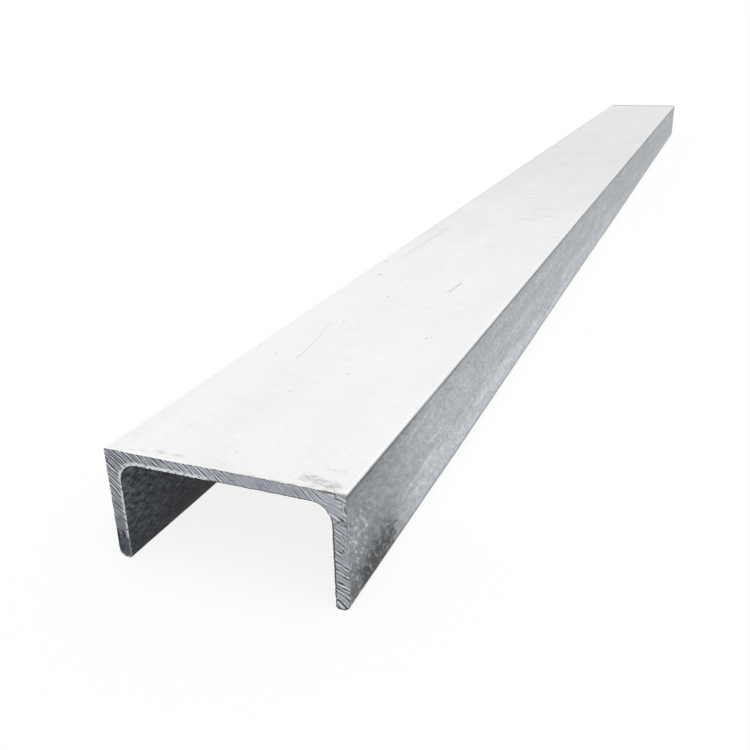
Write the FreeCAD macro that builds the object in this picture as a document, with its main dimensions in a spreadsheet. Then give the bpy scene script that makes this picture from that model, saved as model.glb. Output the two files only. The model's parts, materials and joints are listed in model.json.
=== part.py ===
"""Hot-rolled steel C-channel with parallel flanges, galvanised, sawn square to a stock length.

The bar is rolled in one piece, so it is one solid: a fully constrained sketch of the section, padded to
the stock length. It lies on the toes of its two flanges with the web on top. X runs across the web, Y runs
along the bar and Z is up. The origin is under the middle of the bar, level with the toes. Millimetres.
"""

import FreeCAD, Part

import math
import os

import Sketcher

PARTS_FOLDER = "parts"
SHEET_NAME = "Sizes"

# Driving dimensions: alias, value in mm, what it measures.
DRIVING_DIMENSIONS = (
    ("stock_length", "2000", "length of the bar between its two sawn ends"),
    ("section_depth", "150", "outside size across the web, from flange to flange"),
    ("flange_width", "72", "outside size from a toe to the outer face of the web"),
    ("web_thickness", "7.5", "wall of the web"),
    ("flange_thickness", "8.5", "wall of each flange, the same from root to toe"),
    ("root_radius", "12", "fillet in the corner between web and flange, inside"),
    ("heel_radius", "1", "rounding of the two outside corners beside the web"),
    ("toe_inner_radius", "2", "rounding of each toe on its inner side"),
    ("toe_outer_radius", "5", "rounding of each toe on its outer side"),
)

# Sketcher's own numbers: the origin and the two axes of a sketch, and the ends of an edge.
ORIGIN = (-1, 1)
X_AXIS = -1
START = 1
END = 2


def make_sheet(doc):
    """Writes the driving dimensions to a spreadsheet, one aliased cell for each."""
    sheet = doc.addObject("Spreadsheet::Sheet", SHEET_NAME)
    for row, (alias, value, meaning) in enumerate(DRIVING_DIMENSIONS, start=1):
        sheet.set(f"A{row}", alias)
        sheet.set(f"B{row}", value)
        sheet.set(f"C{row}", meaning)
        sheet.setAlias(f"B{row}", alias)
    doc.recompute()
    return sheet


def origin_plane(body, role):
    """Finds one of the body's own origin planes by its role."""
    return next(feature for feature in body.Origin.OriginFeatures if feature.Role == role)


def section_corners(sheet):
    """Lists the section's eight square corners clockwise from the left toe, each with its radius's alias."""
    half = sheet.section_depth / 2
    inside = half - sheet.flange_thickness
    top = sheet.flange_width
    under = top - sheet.web_thickness
    return (
        ("left_toe_outer", FreeCAD.Vector(-half, 0), "toe_outer_radius"),
        ("left_heel", FreeCAD.Vector(-half, top), "heel_radius"),
        ("right_heel", FreeCAD.Vector(half, top), "heel_radius"),
        ("right_toe_outer", FreeCAD.Vector(half, 0), "toe_outer_radius"),
        ("right_toe_inner", FreeCAD.Vector(inside, 0), "toe_inner_radius"),
        ("right_root", FreeCAD.Vector(inside, under), "root_radius"),
        ("left_root", FreeCAD.Vector(-inside, under), "root_radius"),
        ("left_toe_inner", FreeCAD.Vector(-inside, 0), "toe_inner_radius"),
    )


def direction(start, end):
    """Returns the unit vector from one point to another."""
    return (end - start).normalize()


def draw_outline(sketch, sheet):
    """Draws the rounded outline: one line for each side and one quarter arc for each corner, tangent to it.

    Returns the line that leaves each corner and the arc at each corner, by the corner's name.
    """
    corners = section_corners(sheet)
    count = len(corners)
    lines = {}
    for index, (name, point, radius_alias) in enumerate(corners):
        _, next_point, next_alias = corners[(index + 1) % count]
        along = direction(point, next_point)
        start = point + along * getattr(sheet, radius_alias)
        end = next_point - along * getattr(sheet, next_alias)
        lines[name] = sketch.addGeometry(Part.LineSegment(start, end), False)
        side = "Horizontal" if abs(along.x) > abs(along.y) else "Vertical"
        sketch.addConstraint(Sketcher.Constraint(side, lines[name]))

    arcs = {}
    for index, (name, point, radius_alias) in enumerate(corners):
        previous_name, previous_point, _ = corners[index - 1]
        next_point = corners[(index + 1) % count][1]
        radius = getattr(sheet, radius_alias)
        back = direction(point, previous_point)
        onward = direction(point, next_point)
        centre = point + (back + onward) * radius
        # Sketcher's arcs run anticlockwise, and only a root's rounding does on a clockwise outline.
        anticlockwise = onward.cross(back).z > 0
        first = -onward if anticlockwise else -back
        begin = math.atan2(first.y, first.x)
        circle = Part.Circle(centre, FreeCAD.Vector(0, 0, 1), radius)
        arcs[name] = sketch.addGeometry(Part.ArcOfCircle(circle, begin, begin + math.pi / 2), False)
        arrives, leaves = (START, END) if anticlockwise else (END, START)
        sketch.addConstraint(Sketcher.Constraint("Tangent", lines[previous_name], END, arcs[name], arrives))
        sketch.addConstraint(Sketcher.Constraint("Tangent", arcs[name], leaves, lines[name], START))
    return lines, arcs


def bind(sketch, constraint, name, expression):
    """Adds a dimension to the sketch and drives it by an expression on the sheet."""
    index = sketch.addConstraint(constraint)
    sketch.renameConstraint(index, name)
    sketch.setExpression(f"Constraints.{name}", expression)


def dimension_outline(sketch, sheet, lines, arcs):
    """Sizes and places the outline with dimensions that read the sheet."""
    left_side = (lines["left_toe_outer"], START)
    top_side = (lines["left_heel"], START)
    right_side = (lines["right_heel"], START)
    right_inside = (lines["right_toe_inner"], START)
    underside = (lines["right_root"], START)
    left_inside = (lines["left_root"], START)
    for toe in ("right_toe_outer", "left_toe_inner"):
        sketch.addConstraint(Sketcher.Constraint("PointOnObject", lines[toe], START, X_AXIS))

    def across(name, low, high, expression, value):
        bind(sketch, Sketcher.Constraint("DistanceX", *low, *high, value), name, expression)

    def upward(name, low, high, expression, value):
        bind(sketch, Sketcher.Constraint("DistanceY", *low, *high, value), name, expression)

    half_depth = f"{SHEET_NAME}.section_depth / 2"
    flange = f"{SHEET_NAME}.flange_thickness"
    across("left_half", left_side, ORIGIN, half_depth, sheet.section_depth / 2)
    across("right_half", ORIGIN, right_side, half_depth, sheet.section_depth / 2)
    across("left_flange", left_side, left_inside, flange, sheet.flange_thickness)
    across("right_flange", right_inside, right_side, flange, sheet.flange_thickness)
    upward("flange_width", ORIGIN, top_side, f"{SHEET_NAME}.flange_width", sheet.flange_width)
    upward("web", underside, top_side, f"{SHEET_NAME}.web_thickness", sheet.web_thickness)
    for name, _, radius_alias in section_corners(sheet):
        radius = Sketcher.Constraint("Radius", arcs[name], getattr(sheet, radius_alias))
        bind(sketch, radius, f"{name}_radius", f"{SHEET_NAME}.{radius_alias}")


def make_channel(doc, sheet):
    """Builds the rolled bar: the section's sketch on the XZ plane, padded half the length each way."""
    body = doc.addObject("PartDesign::Body", "Channel")
    body.Label = "channel"

    sketch = body.newObject("Sketcher::SketchObject", "Section")
    sketch.AttachmentSupport = [(origin_plane(body, "XZ_Plane"), "")]
    sketch.MapMode = "FlatFace"
    lines, arcs = draw_outline(sketch, sheet)
    dimension_outline(sketch, sheet, lines, arcs)
    doc.recompute()
    if not sketch.FullyConstrained:
        raise RuntimeError("the section's sketch is not fully constrained")

    pad = body.newObject("PartDesign::Pad", "RolledLength")
    pad.Profile = sketch
    pad.SideType = "Symmetric"
    pad.setExpression("Length", f"{SHEET_NAME}.stock_length")
    body.Tip = pad
    body.Placement = FreeCAD.Placement()
    doc.recompute()
    return body


def check(doc, sub_parts):
    """Stops if any object failed to recompute, or a sub-part has no valid shape."""
    for item in doc.Objects:
        if {"Invalid", "Error"} & set(item.State):
            raise RuntimeError(f"{item.Label} failed to recompute: {item.State}")
    for sub_part in sub_parts:
        if sub_part.Shape.isNull() or not sub_part.Shape.isValid():
            raise RuntimeError(f"{sub_part.Label} has no valid shape")


def export(sub_parts):
    """Writes each sub-part's shape to its own file, named by its label."""
    os.makedirs(PARTS_FOLDER, exist_ok=True)
    for sub_part in sub_parts:
        sub_part.Shape.exportStep(os.path.join(PARTS_FOLDER, f"{sub_part.Label}.step"))


def main():
    doc = FreeCAD.newDocument("CChannel")
    sheet = make_sheet(doc)
    sub_parts = [make_channel(doc, sheet)]
    check(doc, sub_parts)
    export(sub_parts)
    for sub_part in sub_parts:
        box = sub_part.Shape.BoundBox
        size = f"{box.XLength:.2f} x {box.YLength:.2f} x {box.ZLength:.2f} mm"
        print(f"{sub_part.Label}: {size}, {sub_part.Shape.Volume / 1000:.2f} cm3")


main()
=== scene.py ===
"""Looks of a hot-dip galvanised steel C-channel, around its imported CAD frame.

The bar is one rolled piece, so its visual model is one closed mesh: a detailed skin with zinc swells, rolling
waves and burrs, and two sawn end faces whose ridges are cut into the mesh. Metres, Z up, bar along Y.
"""

import json
import logging
import math
from dataclasses import dataclass
from enum import Enum

import bpy
import numpy as np
from mathutils import Matrix, Vector


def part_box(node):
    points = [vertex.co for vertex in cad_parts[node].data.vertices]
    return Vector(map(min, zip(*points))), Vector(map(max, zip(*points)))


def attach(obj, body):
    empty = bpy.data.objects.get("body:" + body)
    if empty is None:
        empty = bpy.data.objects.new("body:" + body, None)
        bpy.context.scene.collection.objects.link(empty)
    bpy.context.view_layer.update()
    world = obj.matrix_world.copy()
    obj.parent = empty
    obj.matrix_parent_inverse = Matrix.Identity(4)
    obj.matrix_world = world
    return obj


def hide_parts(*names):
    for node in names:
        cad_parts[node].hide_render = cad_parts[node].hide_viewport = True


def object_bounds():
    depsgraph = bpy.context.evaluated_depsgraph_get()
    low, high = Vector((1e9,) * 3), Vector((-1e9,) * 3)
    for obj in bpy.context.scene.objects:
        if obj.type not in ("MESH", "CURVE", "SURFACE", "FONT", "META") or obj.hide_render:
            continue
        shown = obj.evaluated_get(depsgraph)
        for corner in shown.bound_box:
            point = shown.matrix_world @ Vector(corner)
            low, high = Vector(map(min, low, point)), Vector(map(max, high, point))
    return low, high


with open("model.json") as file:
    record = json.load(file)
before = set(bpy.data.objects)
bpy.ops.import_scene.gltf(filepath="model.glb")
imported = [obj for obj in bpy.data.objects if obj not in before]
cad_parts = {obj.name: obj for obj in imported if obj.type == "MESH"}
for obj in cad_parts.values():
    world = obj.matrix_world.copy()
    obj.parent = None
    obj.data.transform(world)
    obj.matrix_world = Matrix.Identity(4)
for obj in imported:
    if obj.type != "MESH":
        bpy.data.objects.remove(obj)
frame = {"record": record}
CAD_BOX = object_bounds()

MM = 0.001
log = logging.getLogger("c_channel")

Colour = tuple[float, float, float]
Triple = tuple[float, float, float]
Point = tuple[float, float]
Span = tuple[float, float]


# ---------------------------------------------------------------------------------------------------------
# Shader maths


class Value:
    """A number or vector socket in a shader graph that takes part in Python arithmetic."""

    def __init__(self, graph: "Graph", socket: bpy.types.NodeSocket) -> None:
        """Wraps a socket of a graph."""
        self.graph = graph
        self.socket = socket

    def _math(self, operation: str, *others: "Value | float") -> "Value":
        """Adds a Math node.

        Args:
            operation: the Math node's operation.
            others: its further inputs.

        Returns:
            The node's result.
        """
        sockets = dict(enumerate((self, *others)))
        return self.graph.value("ShaderNodeMath", {"operation": operation}, sockets)

    def _reflected(self, operation: str, other: float) -> "Value":
        """Adds a Math node with a plain number first and this value second."""
        return self.graph.value("ShaderNodeMath", {"operation": operation}, {0: other, 1: self})

    def __add__(self, other: "Value | float") -> "Value":
        """Adds."""
        return self._math("ADD", other)

    def __radd__(self, other: float) -> "Value":
        """Adds to a plain number."""
        return self._reflected("ADD", other)

    def __sub__(self, other: "Value | float") -> "Value":
        """Subtracts."""
        return self._math("SUBTRACT", other)

    def __rsub__(self, other: float) -> "Value":
        """Subtracts from a plain number."""
        return self._reflected("SUBTRACT", other)

    def __mul__(self, other: "Value | float") -> "Value":
        """Multiplies."""
        return self._math("MULTIPLY", other)

    def __rmul__(self, other: float) -> "Value":
        """Multiplies a plain number."""
        return self._reflected("MULTIPLY", other)

    def __truediv__(self, other: "Value | float") -> "Value":
        """Divides."""
        return self._math("DIVIDE", other)

    def __abs__(self) -> "Value":
        """Drops the sign."""
        return self._math("ABSOLUTE")

    def at_least(self, other: "Value | float") -> "Value":
        """Takes the larger of the two."""
        return self._math("MAXIMUM", other)

    def at_most(self, other: "Value | float") -> "Value":
        """Takes the smaller of the two."""
        return self._math("MINIMUM", other)

    def root(self) -> "Value":
        """Takes the square root."""
        return self._math("SQRT")

    def rise(self, low: float, high: float, to_low: float = 0.0, to_high: float = 1.0) -> "Value":
        """Turns smoothly from one level to another as the value goes from low to high.

        Args:
            low: the value at which the turn starts.
            high: the value at which it ends.
            to_low: the level up to the start.
            to_high: the level from the end on.

        Returns:
            The level.
        """
        settings = {"interpolation_type": "SMOOTHSTEP"}
        sockets = {"Value": self, "From Min": low, "From Max": high, "To Min": to_low, "To Max": to_high}
        return self.graph.value("ShaderNodeMapRange", settings, sockets)

    def fall(self, low: float, high: float) -> "Value":
        """Turns smoothly from 1 to 0 as the value goes from low to high."""
        return self.rise(low, high, 1.0, 0.0)


class Graph:
    """The node tree of one material, built by one method for every kind of node."""

    def __init__(self, tree: bpy.types.NodeTree) -> None:
        """Empties the tree."""
        self.tree = tree
        tree.nodes.clear()

    def node(self, kind: str, settings: dict, sockets: dict) -> bpy.types.Node:
        """Adds a node.

        Args:
            kind: the node's type.
            settings: its own properties, set first.
            sockets: by name or number, the values or links of its inputs.

        Returns:
            The node.
        """
        node = self.tree.nodes.new(kind)
        for name, setting in settings.items():
            setattr(node, name, setting)
        for key, given in sockets.items():
            if isinstance(given, Value):
                self.tree.links.new(given.socket, node.inputs[key])
            else:
                node.inputs[key].default_value = given
        return node

    def value(self, kind: str, settings: dict, sockets: dict, output: int | str = 0) -> Value:
        """Adds a node and returns one of its outputs, the first unless another is named."""
        return Value(self, self.node(kind, settings, sockets).outputs[output])

    def place(self) -> Value:
        """The shaded point in the object's own coordinates, in metres."""
        return self.value("ShaderNodeTexCoord", {}, {}, "Object")

    def parts(self, vector: Value) -> tuple[Value, Value, Value]:
        """Splits a vector into its X, Y and Z."""
        split = self.node("ShaderNodeSeparateXYZ", {}, {0: vector})
        return Value(self, split.outputs[0]), Value(self, split.outputs[1]), Value(self, split.outputs[2])

    def attribute(self, name: str) -> Value:
        """Reads a number that the mesh holds at its vertices."""
        return self.value("ShaderNodeAttribute", {"attribute_name": name}, {}, "Fac")

    def turned(self, place: Value, turn: Triple, cells: Triple) -> Value:
        """Turns a place about the origin, then counts it in cells per metre along each axis.

        Args:
            place: the vector.
            turn: the turn about each axis, in radians.
            cells: how many cells of a pattern fit in a metre along each turned axis.

        Returns:
            The vector to feed to a pattern of scale 1.
        """
        sockets = {"Vector": place, "Rotation": turn}
        rotated = self.value("ShaderNodeMapping", {"vector_type": "POINT"}, sockets)
        return self.value("ShaderNodeVectorMath", {"operation": "MULTIPLY"}, {0: rotated, 1: cells})

    def noise(self, where: Value, detail: float = 2.0, roughness: float = 0.5, seed: float = 0.0) -> Value:
        """Fractal noise about 0.5, one cell to each unit of where."""
        sockets = {"Vector": where, "W": seed, "Scale": 1.0, "Detail": detail, "Roughness": roughness}
        return self.value("ShaderNodeTexNoise", {"noise_dimensions": "4D"}, sockets)

    def mix(self, factor: "Value | float", low: "Value | Colour", high: "Value | Colour") -> Value:
        """Mixes two colours."""
        sockets = {0: factor, 6: self._rgba(low), 7: self._rgba(high)}
        return self.value("ShaderNodeMix", {"data_type": "RGBA"}, sockets, 2)

    @staticmethod
    def _rgba(colour: "Value | Colour") -> "Value | tuple[float, ...]":
        """Gives a plain colour its alpha."""
        return colour if isinstance(colour, Value) else (*colour, 1.0)

    def bump(self, height: Value, distance: float, strength: float = 1.0) -> Value:
        """A normal bent by a height, whose unit is the distance in metres."""
        sockets = {"Height": height, "Distance": distance, "Strength": strength}
        return self.value("ShaderNodeBump", {}, sockets)

    def surface(self, sockets: dict) -> None:
        """Ends the graph in a Principled shader with these inputs."""
        shader = self.value("ShaderNodeBsdfPrincipled", {}, sockets)
        self.node("ShaderNodeOutputMaterial", {}, {"Surface": shader})


def new_material(name: str) -> tuple[bpy.types.Material, Graph]:
    """Makes a material.

    Args:
        name: its name.

    Returns:
        The material and its empty graph.
    """
    material = bpy.data.materials.new(name)
    material.use_nodes = True
    return material, Graph(material.node_tree)


# ---------------------------------------------------------------------------------------------------------
# The section and its mesh


def swell(points: np.ndarray, wavelength: float, seed: int, stretch: Triple = (1.0, 1.0, 1.0)) -> np.ndarray:
    """Smooth random swell of about unit height.

    The height at a point is a sum of plane waves, each the cosine of a random direction dotted with the
    point, over a length near the wavelength, plus a random phase.

    Args:
        points: places, one to a row.
        wavelength: the usual distance from crest to crest, in metres.
        seed: picks the waves.
        stretch: how much longer the swell is along each axis.

    Returns:
        The height at each point.
    """
    count = 24
    rng = np.random.default_rng(seed)
    directions = rng.normal(size=(count, 3))
    directions /= np.linalg.norm(directions, axis=1, keepdims=True)
    lengths = wavelength * rng.uniform(0.7, 1.5, (count, 1))
    phases = rng.uniform(0.0, 2.0 * math.pi, count)
    turns = (points / np.array(stretch)) @ (2.0 * math.pi * directions / lengths).T
    return np.cos(turns + phases).sum(axis=1) * math.sqrt(2.0 / count)


def smoothstep(values: np.ndarray, low: float, high: float) -> np.ndarray:
    """Rises from 0 to 1 between low and high by 3 q squared minus 2 q cubed."""
    share = np.clip((values - low) / (high - low), 0.0, 1.0)
    return share * share * (3.0 - 2.0 * share)


@dataclass(frozen=True)
class Wave:
    """A random swell: its height, its usual wavelength, the seed that picks it and how it is drawn out."""

    height: float
    wavelength: float
    seed: int
    stretch: Triple = (1.0, 1.0, 1.0)

    def at(self, points: np.ndarray) -> np.ndarray:
        """The swell's height at each point."""
        return self.height * swell(points, self.wavelength, self.seed, self.stretch)


class Level(Enum):
    """How finely a ring of vertices divides the section's outline."""

    FINE = 0
    MIDDLE = 1
    COARSE = 2


@dataclass(frozen=True)
class Stretch:
    """One stretch of the outline: a straight run or a quarter arc, and how each level divides it."""

    start: Point
    end: Point
    steps: int
    strides: tuple[int, int, int]
    centre: Point | None = None

    def points(self) -> np.ndarray:
        """The fine points, leaving out the last.

        A straight run goes evenly from start to end. A quarter arc is the centre plus the start's arm by the
        cosine and the end's arm by the sine of an angle that goes from nothing to a quarter turn.

        Returns:
            One point to a row, X and Z.
        """
        share = np.arange(self.steps)[:, None] / self.steps
        start, end = np.array(self.start), np.array(self.end)
        if self.centre is None:
            return start + (end - start) * share
        centre, angle = np.array(self.centre), share * math.pi / 2.0
        return centre + (start - centre) * np.cos(angle) + (end - centre) * np.sin(angle)

    def backwards(self) -> "Stretch":
        """The same stretch from its end to its start."""
        return Stretch(self.end, self.start, self.steps, self.strides, self.centre)

    def mirrored(self) -> "Stretch":
        """The same stretch on the other side of the middle, from its end to its start."""
        centre = None if self.centre is None else mirrored(self.centre)
        return Stretch(mirrored(self.end), mirrored(self.start), self.steps, self.strides, centre)


def mirrored(point: Point) -> Point:
    """The point on the other side of the middle."""
    return (-point[0], point[1])


@dataclass(frozen=True)
class Section:
    """The rolled section, on its toes with its web on top: X across, Z up, the middle of the toes at 0."""

    depth: float
    height: float
    web: float
    flange: float = 8.5 * MM
    root_radius: float = 12.0 * MM
    heel_radius: float = 1.0 * MM
    toe_inner_radius: float = 2.0 * MM
    toe_outer_radius: float = 5.0 * MM
    flange_steps: int = 140
    web_steps: int = 312

    @property
    def half(self) -> float:
        """Half the depth."""
        return self.depth / 2.0

    @property
    def inside(self) -> float:
        """From the middle to a flange's inner face."""
        return self.half - self.flange

    @property
    def under(self) -> float:
        """Height of the web's underside."""
        return self.height - self.web

    @property
    def spring(self) -> float:
        """Height at which a root fillet leaves its flange."""
        return self.under - self.root_radius

    @property
    def toe_column(self) -> float:
        """Distance along a flange between two columns of an end face, near the toe."""
        return self.spring / self.flange_steps

    @property
    def fillet_end(self) -> float:
        """From the middle to where a root fillet meets the web."""
        return self.inside - self.root_radius

    def outer(self) -> list[Stretch]:
        """The outer side.

        Returns:
            Its stretches, from the left toe over the web to the right toe.
        """
        half, top, heel, steps = self.half, self.height, self.heel_radius, self.flange_steps
        left = [
            Stretch((-half, self.toe_outer_radius), (-half, self.spring), steps, (1, 4, 14)),
            Stretch((-half, self.spring), (-half, top - heel), 28, (1, 4, 7)),
            Stretch((-half, top - heel), (-half + heel, top), 6, (1, 1, 2), (-half + heel, top - heel)),
            Stretch((-half + heel, top), (-self.fillet_end, top), 32, (1, 4, 8)),
        ]
        web = Stretch((-self.fillet_end, top), (self.fillet_end, top), self.web_steps, (1, 4, 12))
        return [*left, web, *(part.mirrored() for part in reversed(left))]

    def inner(self) -> list[Stretch]:
        """The inner side, with as many steps as the outer.

        Returns:
            Its stretches, from the left toe under the web to the right toe.
        """
        inside, under, end, steps = self.inside, self.under, self.fillet_end, self.flange_steps
        left = [
            Stretch((-inside, self.toe_inner_radius), (-inside, self.spring), steps, (1, 4, 14)),
            Stretch((-inside, self.spring), (-end, under), 66, (1, 3, 6), (-end, self.spring)),
        ]
        web = Stretch((-end, under), (end, under), self.web_steps, (1, 4, 12))
        return [*left, web, *(part.mirrored() for part in reversed(left))]

    def toe(self) -> list[Stretch]:
        """The right toe.

        Returns:
            Its stretches, from its outer rounding to its inner one.
        """
        half, inside = self.half, self.inside
        outer, inner = self.toe_outer_radius, self.toe_inner_radius
        return [
            Stretch((half, outer), (half - outer, 0.0), 12, (1, 1, 2), (half - outer, outer)),
            Stretch((half - outer, 0.0), (inside + inner, 0.0), 4, (1, 1, 2)),
            Stretch((inside + inner, 0.0), (inside, inner), 6, (1, 1, 2), (inside + inner, inner)),
        ]


@dataclass(frozen=True)
class SawCut:
    """The marks that the saw left across one end of the bar: parallel ridges, deeper in some places."""

    slope: float = math.radians(-40.0)
    pitch: float = 1.95 * MM
    depth: float = 0.10 * MM
    turn: float = 0.24
    turn_from: float = 61.0 * MM
    seed: int = 5
    # Each bend's size, in pitches, and its wavelength.
    bends: tuple[tuple[float, float], ...] = ((0.32, 26.0 * MM), (0.07, 7.0 * MM))
    # Each sine's height, its pace against the first and its lag in radians.
    sines: tuple[Triple, ...] = ((0.80, 1.0, 0.0), (0.42, 0.61, 1.0), (0.34, 1.53, 2.0))
    # The usual strength, how much it wanders, over what distance, and its bounds.
    strength: float = 0.90
    wander: float = 0.50
    wander_reach: float = 5.0 * MM
    bounds: Span = (0.2, 1.5)
    # Where the strokes grow faint on the web and where they are strong again, below what height they grow
    # faint on the left toe, and by how much.
    faint_from: Span = (-4.0 * MM, 12.0 * MM)
    faint_to: Span = (44.0 * MM, 58.0 * MM)
    faint_toe: Span = (20.0 * MM, 34.0 * MM)
    faintness: float = 0.72

    def ridges(self, across: np.ndarray, up: np.ndarray) -> np.ndarray:
        """Height of the ridges, from about -1 to 1.

        The phase is the distance square to the strokes over the pitch, bent by two slow swells and leaning
        over on the right flange. The ridge is the sum of its sine and of a wider and a narrower sine that
        never quite fall in step, so that no two strokes are alike, times a strength that differs from place
        to place.

        Args:
            across: X of each point.
            up: Z of each point.

        Returns:
            The height at each point.
        """
        flat = np.stack([across, np.zeros_like(across), up], axis=1)
        lean = self.turn * np.maximum(across - self.turn_from, 0.0)
        square = -across * math.sin(self.slope) + up * math.cos(self.slope) - lean
        swells = (Wave(size, reach, self.seed + step) for step, (size, reach) in enumerate(self.bends))
        bend = sum(wave.at(flat) for wave in swells)
        phase = 2.0 * math.pi * (square / self.pitch + bend)
        wave = sum(size * np.sin(pace * phase + lag) for size, pace, lag in self.sines)
        return wave * self._strengths(flat)

    def _strengths(self, flat: np.ndarray) -> np.ndarray:
        """How deep the ridges are: the usual strength plus a short swell, less where the strokes are faint.

        Args:
            flat: places on the cut, one to a row.

        Returns:
            The strength at each place.
        """
        across, up = flat[:, 0], flat[:, 2]
        on_web = smoothstep(across, *self.faint_from) * (1.0 - smoothstep(across, *self.faint_to))
        on_toe = (1.0 - smoothstep(up, *self.faint_toe)) * (across < 0.0)
        patches = self.strength + Wave(self.wander, self.wander_reach, self.seed + 2).at(flat)
        return np.clip(patches, *self.bounds) * (1.0 - self.faintness * np.maximum(on_web, on_toe))


@dataclass(frozen=True)
class EndFace:
    """One sawn end: its own vertices, what each holds, and the grid that joins them to the last ring."""

    points: np.ndarray
    ridge: np.ndarray
    from_outer: np.ndarray
    from_inner: np.ndarray
    grid: np.ndarray


@dataclass(frozen=True)
class BarSkin:
    """The whole bar as one closed mesh."""

    section: Section
    length: float
    cuts: tuple[SawCut, SawCut] = (SawCut(), SawCut(seed=31, slope=math.radians(28.0)))
    # Rings: the fine ones by their distance from an end, then the middle ones, ever wider apart, then the
    # coarse ones.
    fine_rings: tuple[float, ...] = (0.0, 0.4 * MM, 1.0 * MM)
    middle_from: float = 1.8 * MM
    middle_to: float = 34.0 * MM
    middle_rings: int = 13
    middle_spread: float = 1.6
    coarse_from: float = 38.0 * MM
    coarse_rings: int = 248
    # An end face: rows across its wall, and columns over which the toe's curve fades.
    across_wall: int = 22
    toe_columns: int = 30
    cut_reach: float = 0.5 * MM
    sharp_angle: float = math.radians(50.0)
    # The skin's relief.
    rolls: Wave = Wave(0.10 * MM, 0.26, 11, (1.0, 2.0, 1.0))
    zinc: Wave = Wave(0.05 * MM, 26.0 * MM, 12, (1.0, 2.5, 1.0))
    lumps: Wave = Wave(1.0, 9.0 * MM, 13)
    lump_height: float = 0.05 * MM
    lump_level: float = 0.9
    burrs: Wave = Wave(0.5, 6.0 * MM, 14)
    burr_size: float = 0.35
    burr_height: float = 0.16 * MM
    burr_ridge: float = 0.06 * MM
    burr_reach: float = 0.7 * MM
    runs: Wave = Wave(0.5, 40.0 * MM, 15)
    run_depth: float = 0.25 * MM

    def outline(self) -> tuple[np.ndarray, dict[Level, np.ndarray]]:
        """The closed outline: over the outside, round the right toe, back inside and round the left toe.

        Returns:
            The fine points, X and Z, and for each level the places of its points among them.
        """
        toe = self.section.toe()
        inner = [part.backwards() for part in reversed(self.section.inner())]
        left_toe = [part.mirrored() for part in reversed(toe)]
        stretches = [*self.section.outer(), *toe, *inner, *left_toe]
        points = np.concatenate([part.points() for part in stretches])
        starts = np.cumsum([0] + [part.steps for part in stretches[:-1]])
        picks = {
            level: np.concatenate([
                start + np.arange(0, part.steps, part.strides[level.value])
                for start, part in zip(starts, stretches)
            ])
            for level in Level
        }
        return points, picks

    def rings(self) -> list[tuple[float, Level]]:
        """The rings of vertices round the bar.

        The distance of a middle ring grows as its number to the power of the spread.

        Returns:
            The distance of every ring from the front end and its level, front to back.
        """
        near = [(distance, Level.FINE) for distance in self.fine_rings]
        share = np.arange(self.middle_rings) / (self.middle_rings - 1)
        middle = self.middle_from + (self.middle_to - self.middle_from) * share**self.middle_spread
        near += [(float(distance), Level.MIDDLE) for distance in middle]
        along = np.linspace(self.coarse_from, self.length - self.coarse_from, self.coarse_rings)
        body = [(float(distance), Level.COARSE) for distance in along]
        far = [(self.length - distance, level) for distance, level in reversed(near)]
        return near + body + far

    def relief(self, points: np.ndarray, normals: np.ndarray, ridge: np.ndarray) -> np.ndarray:
        """How far the skin stands out from the ideal section.

        It is a sum of a long wave from the rolls, a swell where the zinc ran thicker, small zinc lumps, and
        next to a sawn end a burr that is cut through by the saw's ridges.

        Args:
            points: places on the ideal skin.
            normals: the outward direction there, X and Z.
            ridge: height of the saw's ridges carried to the point from the nearer end.

        Returns:
            The outward distance, in metres.
        """
        from_end = self.length / 2.0 - np.abs(points[:, 1])
        lumps = self.lump_height * np.clip(self.lumps.at(points) - self.lump_level, 0.0, None)
        burr_size = np.clip(self.burr_size + self.burrs.at(points), 0.0, 1.2)
        burr = np.exp(-from_end / self.burr_reach) * (self.burr_height * burr_size + self.burr_ridge * ridge)
        # A toe carries the bar, so there the skin only draws back from the floor.
        toe = smoothstep(-normals[:, 1], 0.5, 1.0) * (points[:, 2] < self.section.spring)
        runs = -self.run_depth * np.clip(0.5 + self.runs.at(points), 0.0, 1.0)
        return (self.rolls.at(points) + self.zinc.at(points) + lumps + burr) * (1.0 - toe) + runs * toe

    def skin_points(self) -> tuple[np.ndarray, np.ndarray, list[np.ndarray], dict[Level, np.ndarray]]:
        """Places every ring's vertices.

        A vertex is its ideal outline point at the ring's distance, moved out along the outline's normal by
        the relief. Next to an end it also follows the ridges of the saw cut, less and less over a millimetre.

        Returns:
            The vertices, the ridge height at each, the vertex numbers of each ring, and each level's picks.
        """
        outline, picks = self.outline()
        tangent = np.roll(outline, -1, axis=0) - np.roll(outline, 1, axis=0)
        tangent /= np.linalg.norm(tangent, axis=1, keepdims=True)
        # Seen from the front the outline runs clockwise, so outwards is to the left of it.
        outward = np.stack([-tangent[:, 1], np.zeros(len(outline)), tangent[:, 0]], axis=1)
        ridges = [cut.ridges(outline[:, 0], outline[:, 1]) for cut in self.cuts]
        parts, heights, numbers, total = [], [], [], 0
        for distance, level in self.rings():
            pick = picks[level]
            end = 0 if distance < self.length / 2.0 else 1
            side, ridge = outline[pick], ridges[end][pick]
            y = np.full(len(pick), distance - self.length / 2.0)
            ideal = np.stack([side[:, 0], y, side[:, 1]], axis=1)
            out = self.relief(ideal, outward[pick][:, [0, 2]], ridge)
            carried = ridge * math.exp(-min(distance, self.length - distance) / self.cut_reach)
            moved = ideal + outward[pick] * out[:, None]
            moved[:, 1] += (-self.cuts[0].depth, self.cuts[1].depth)[end] * carried
            parts.append(moved)
            heights.append(carried)
            numbers.append(np.arange(total, total + len(pick)))
            total += len(pick)
        return np.concatenate(parts), np.concatenate(heights), numbers, picks

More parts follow.
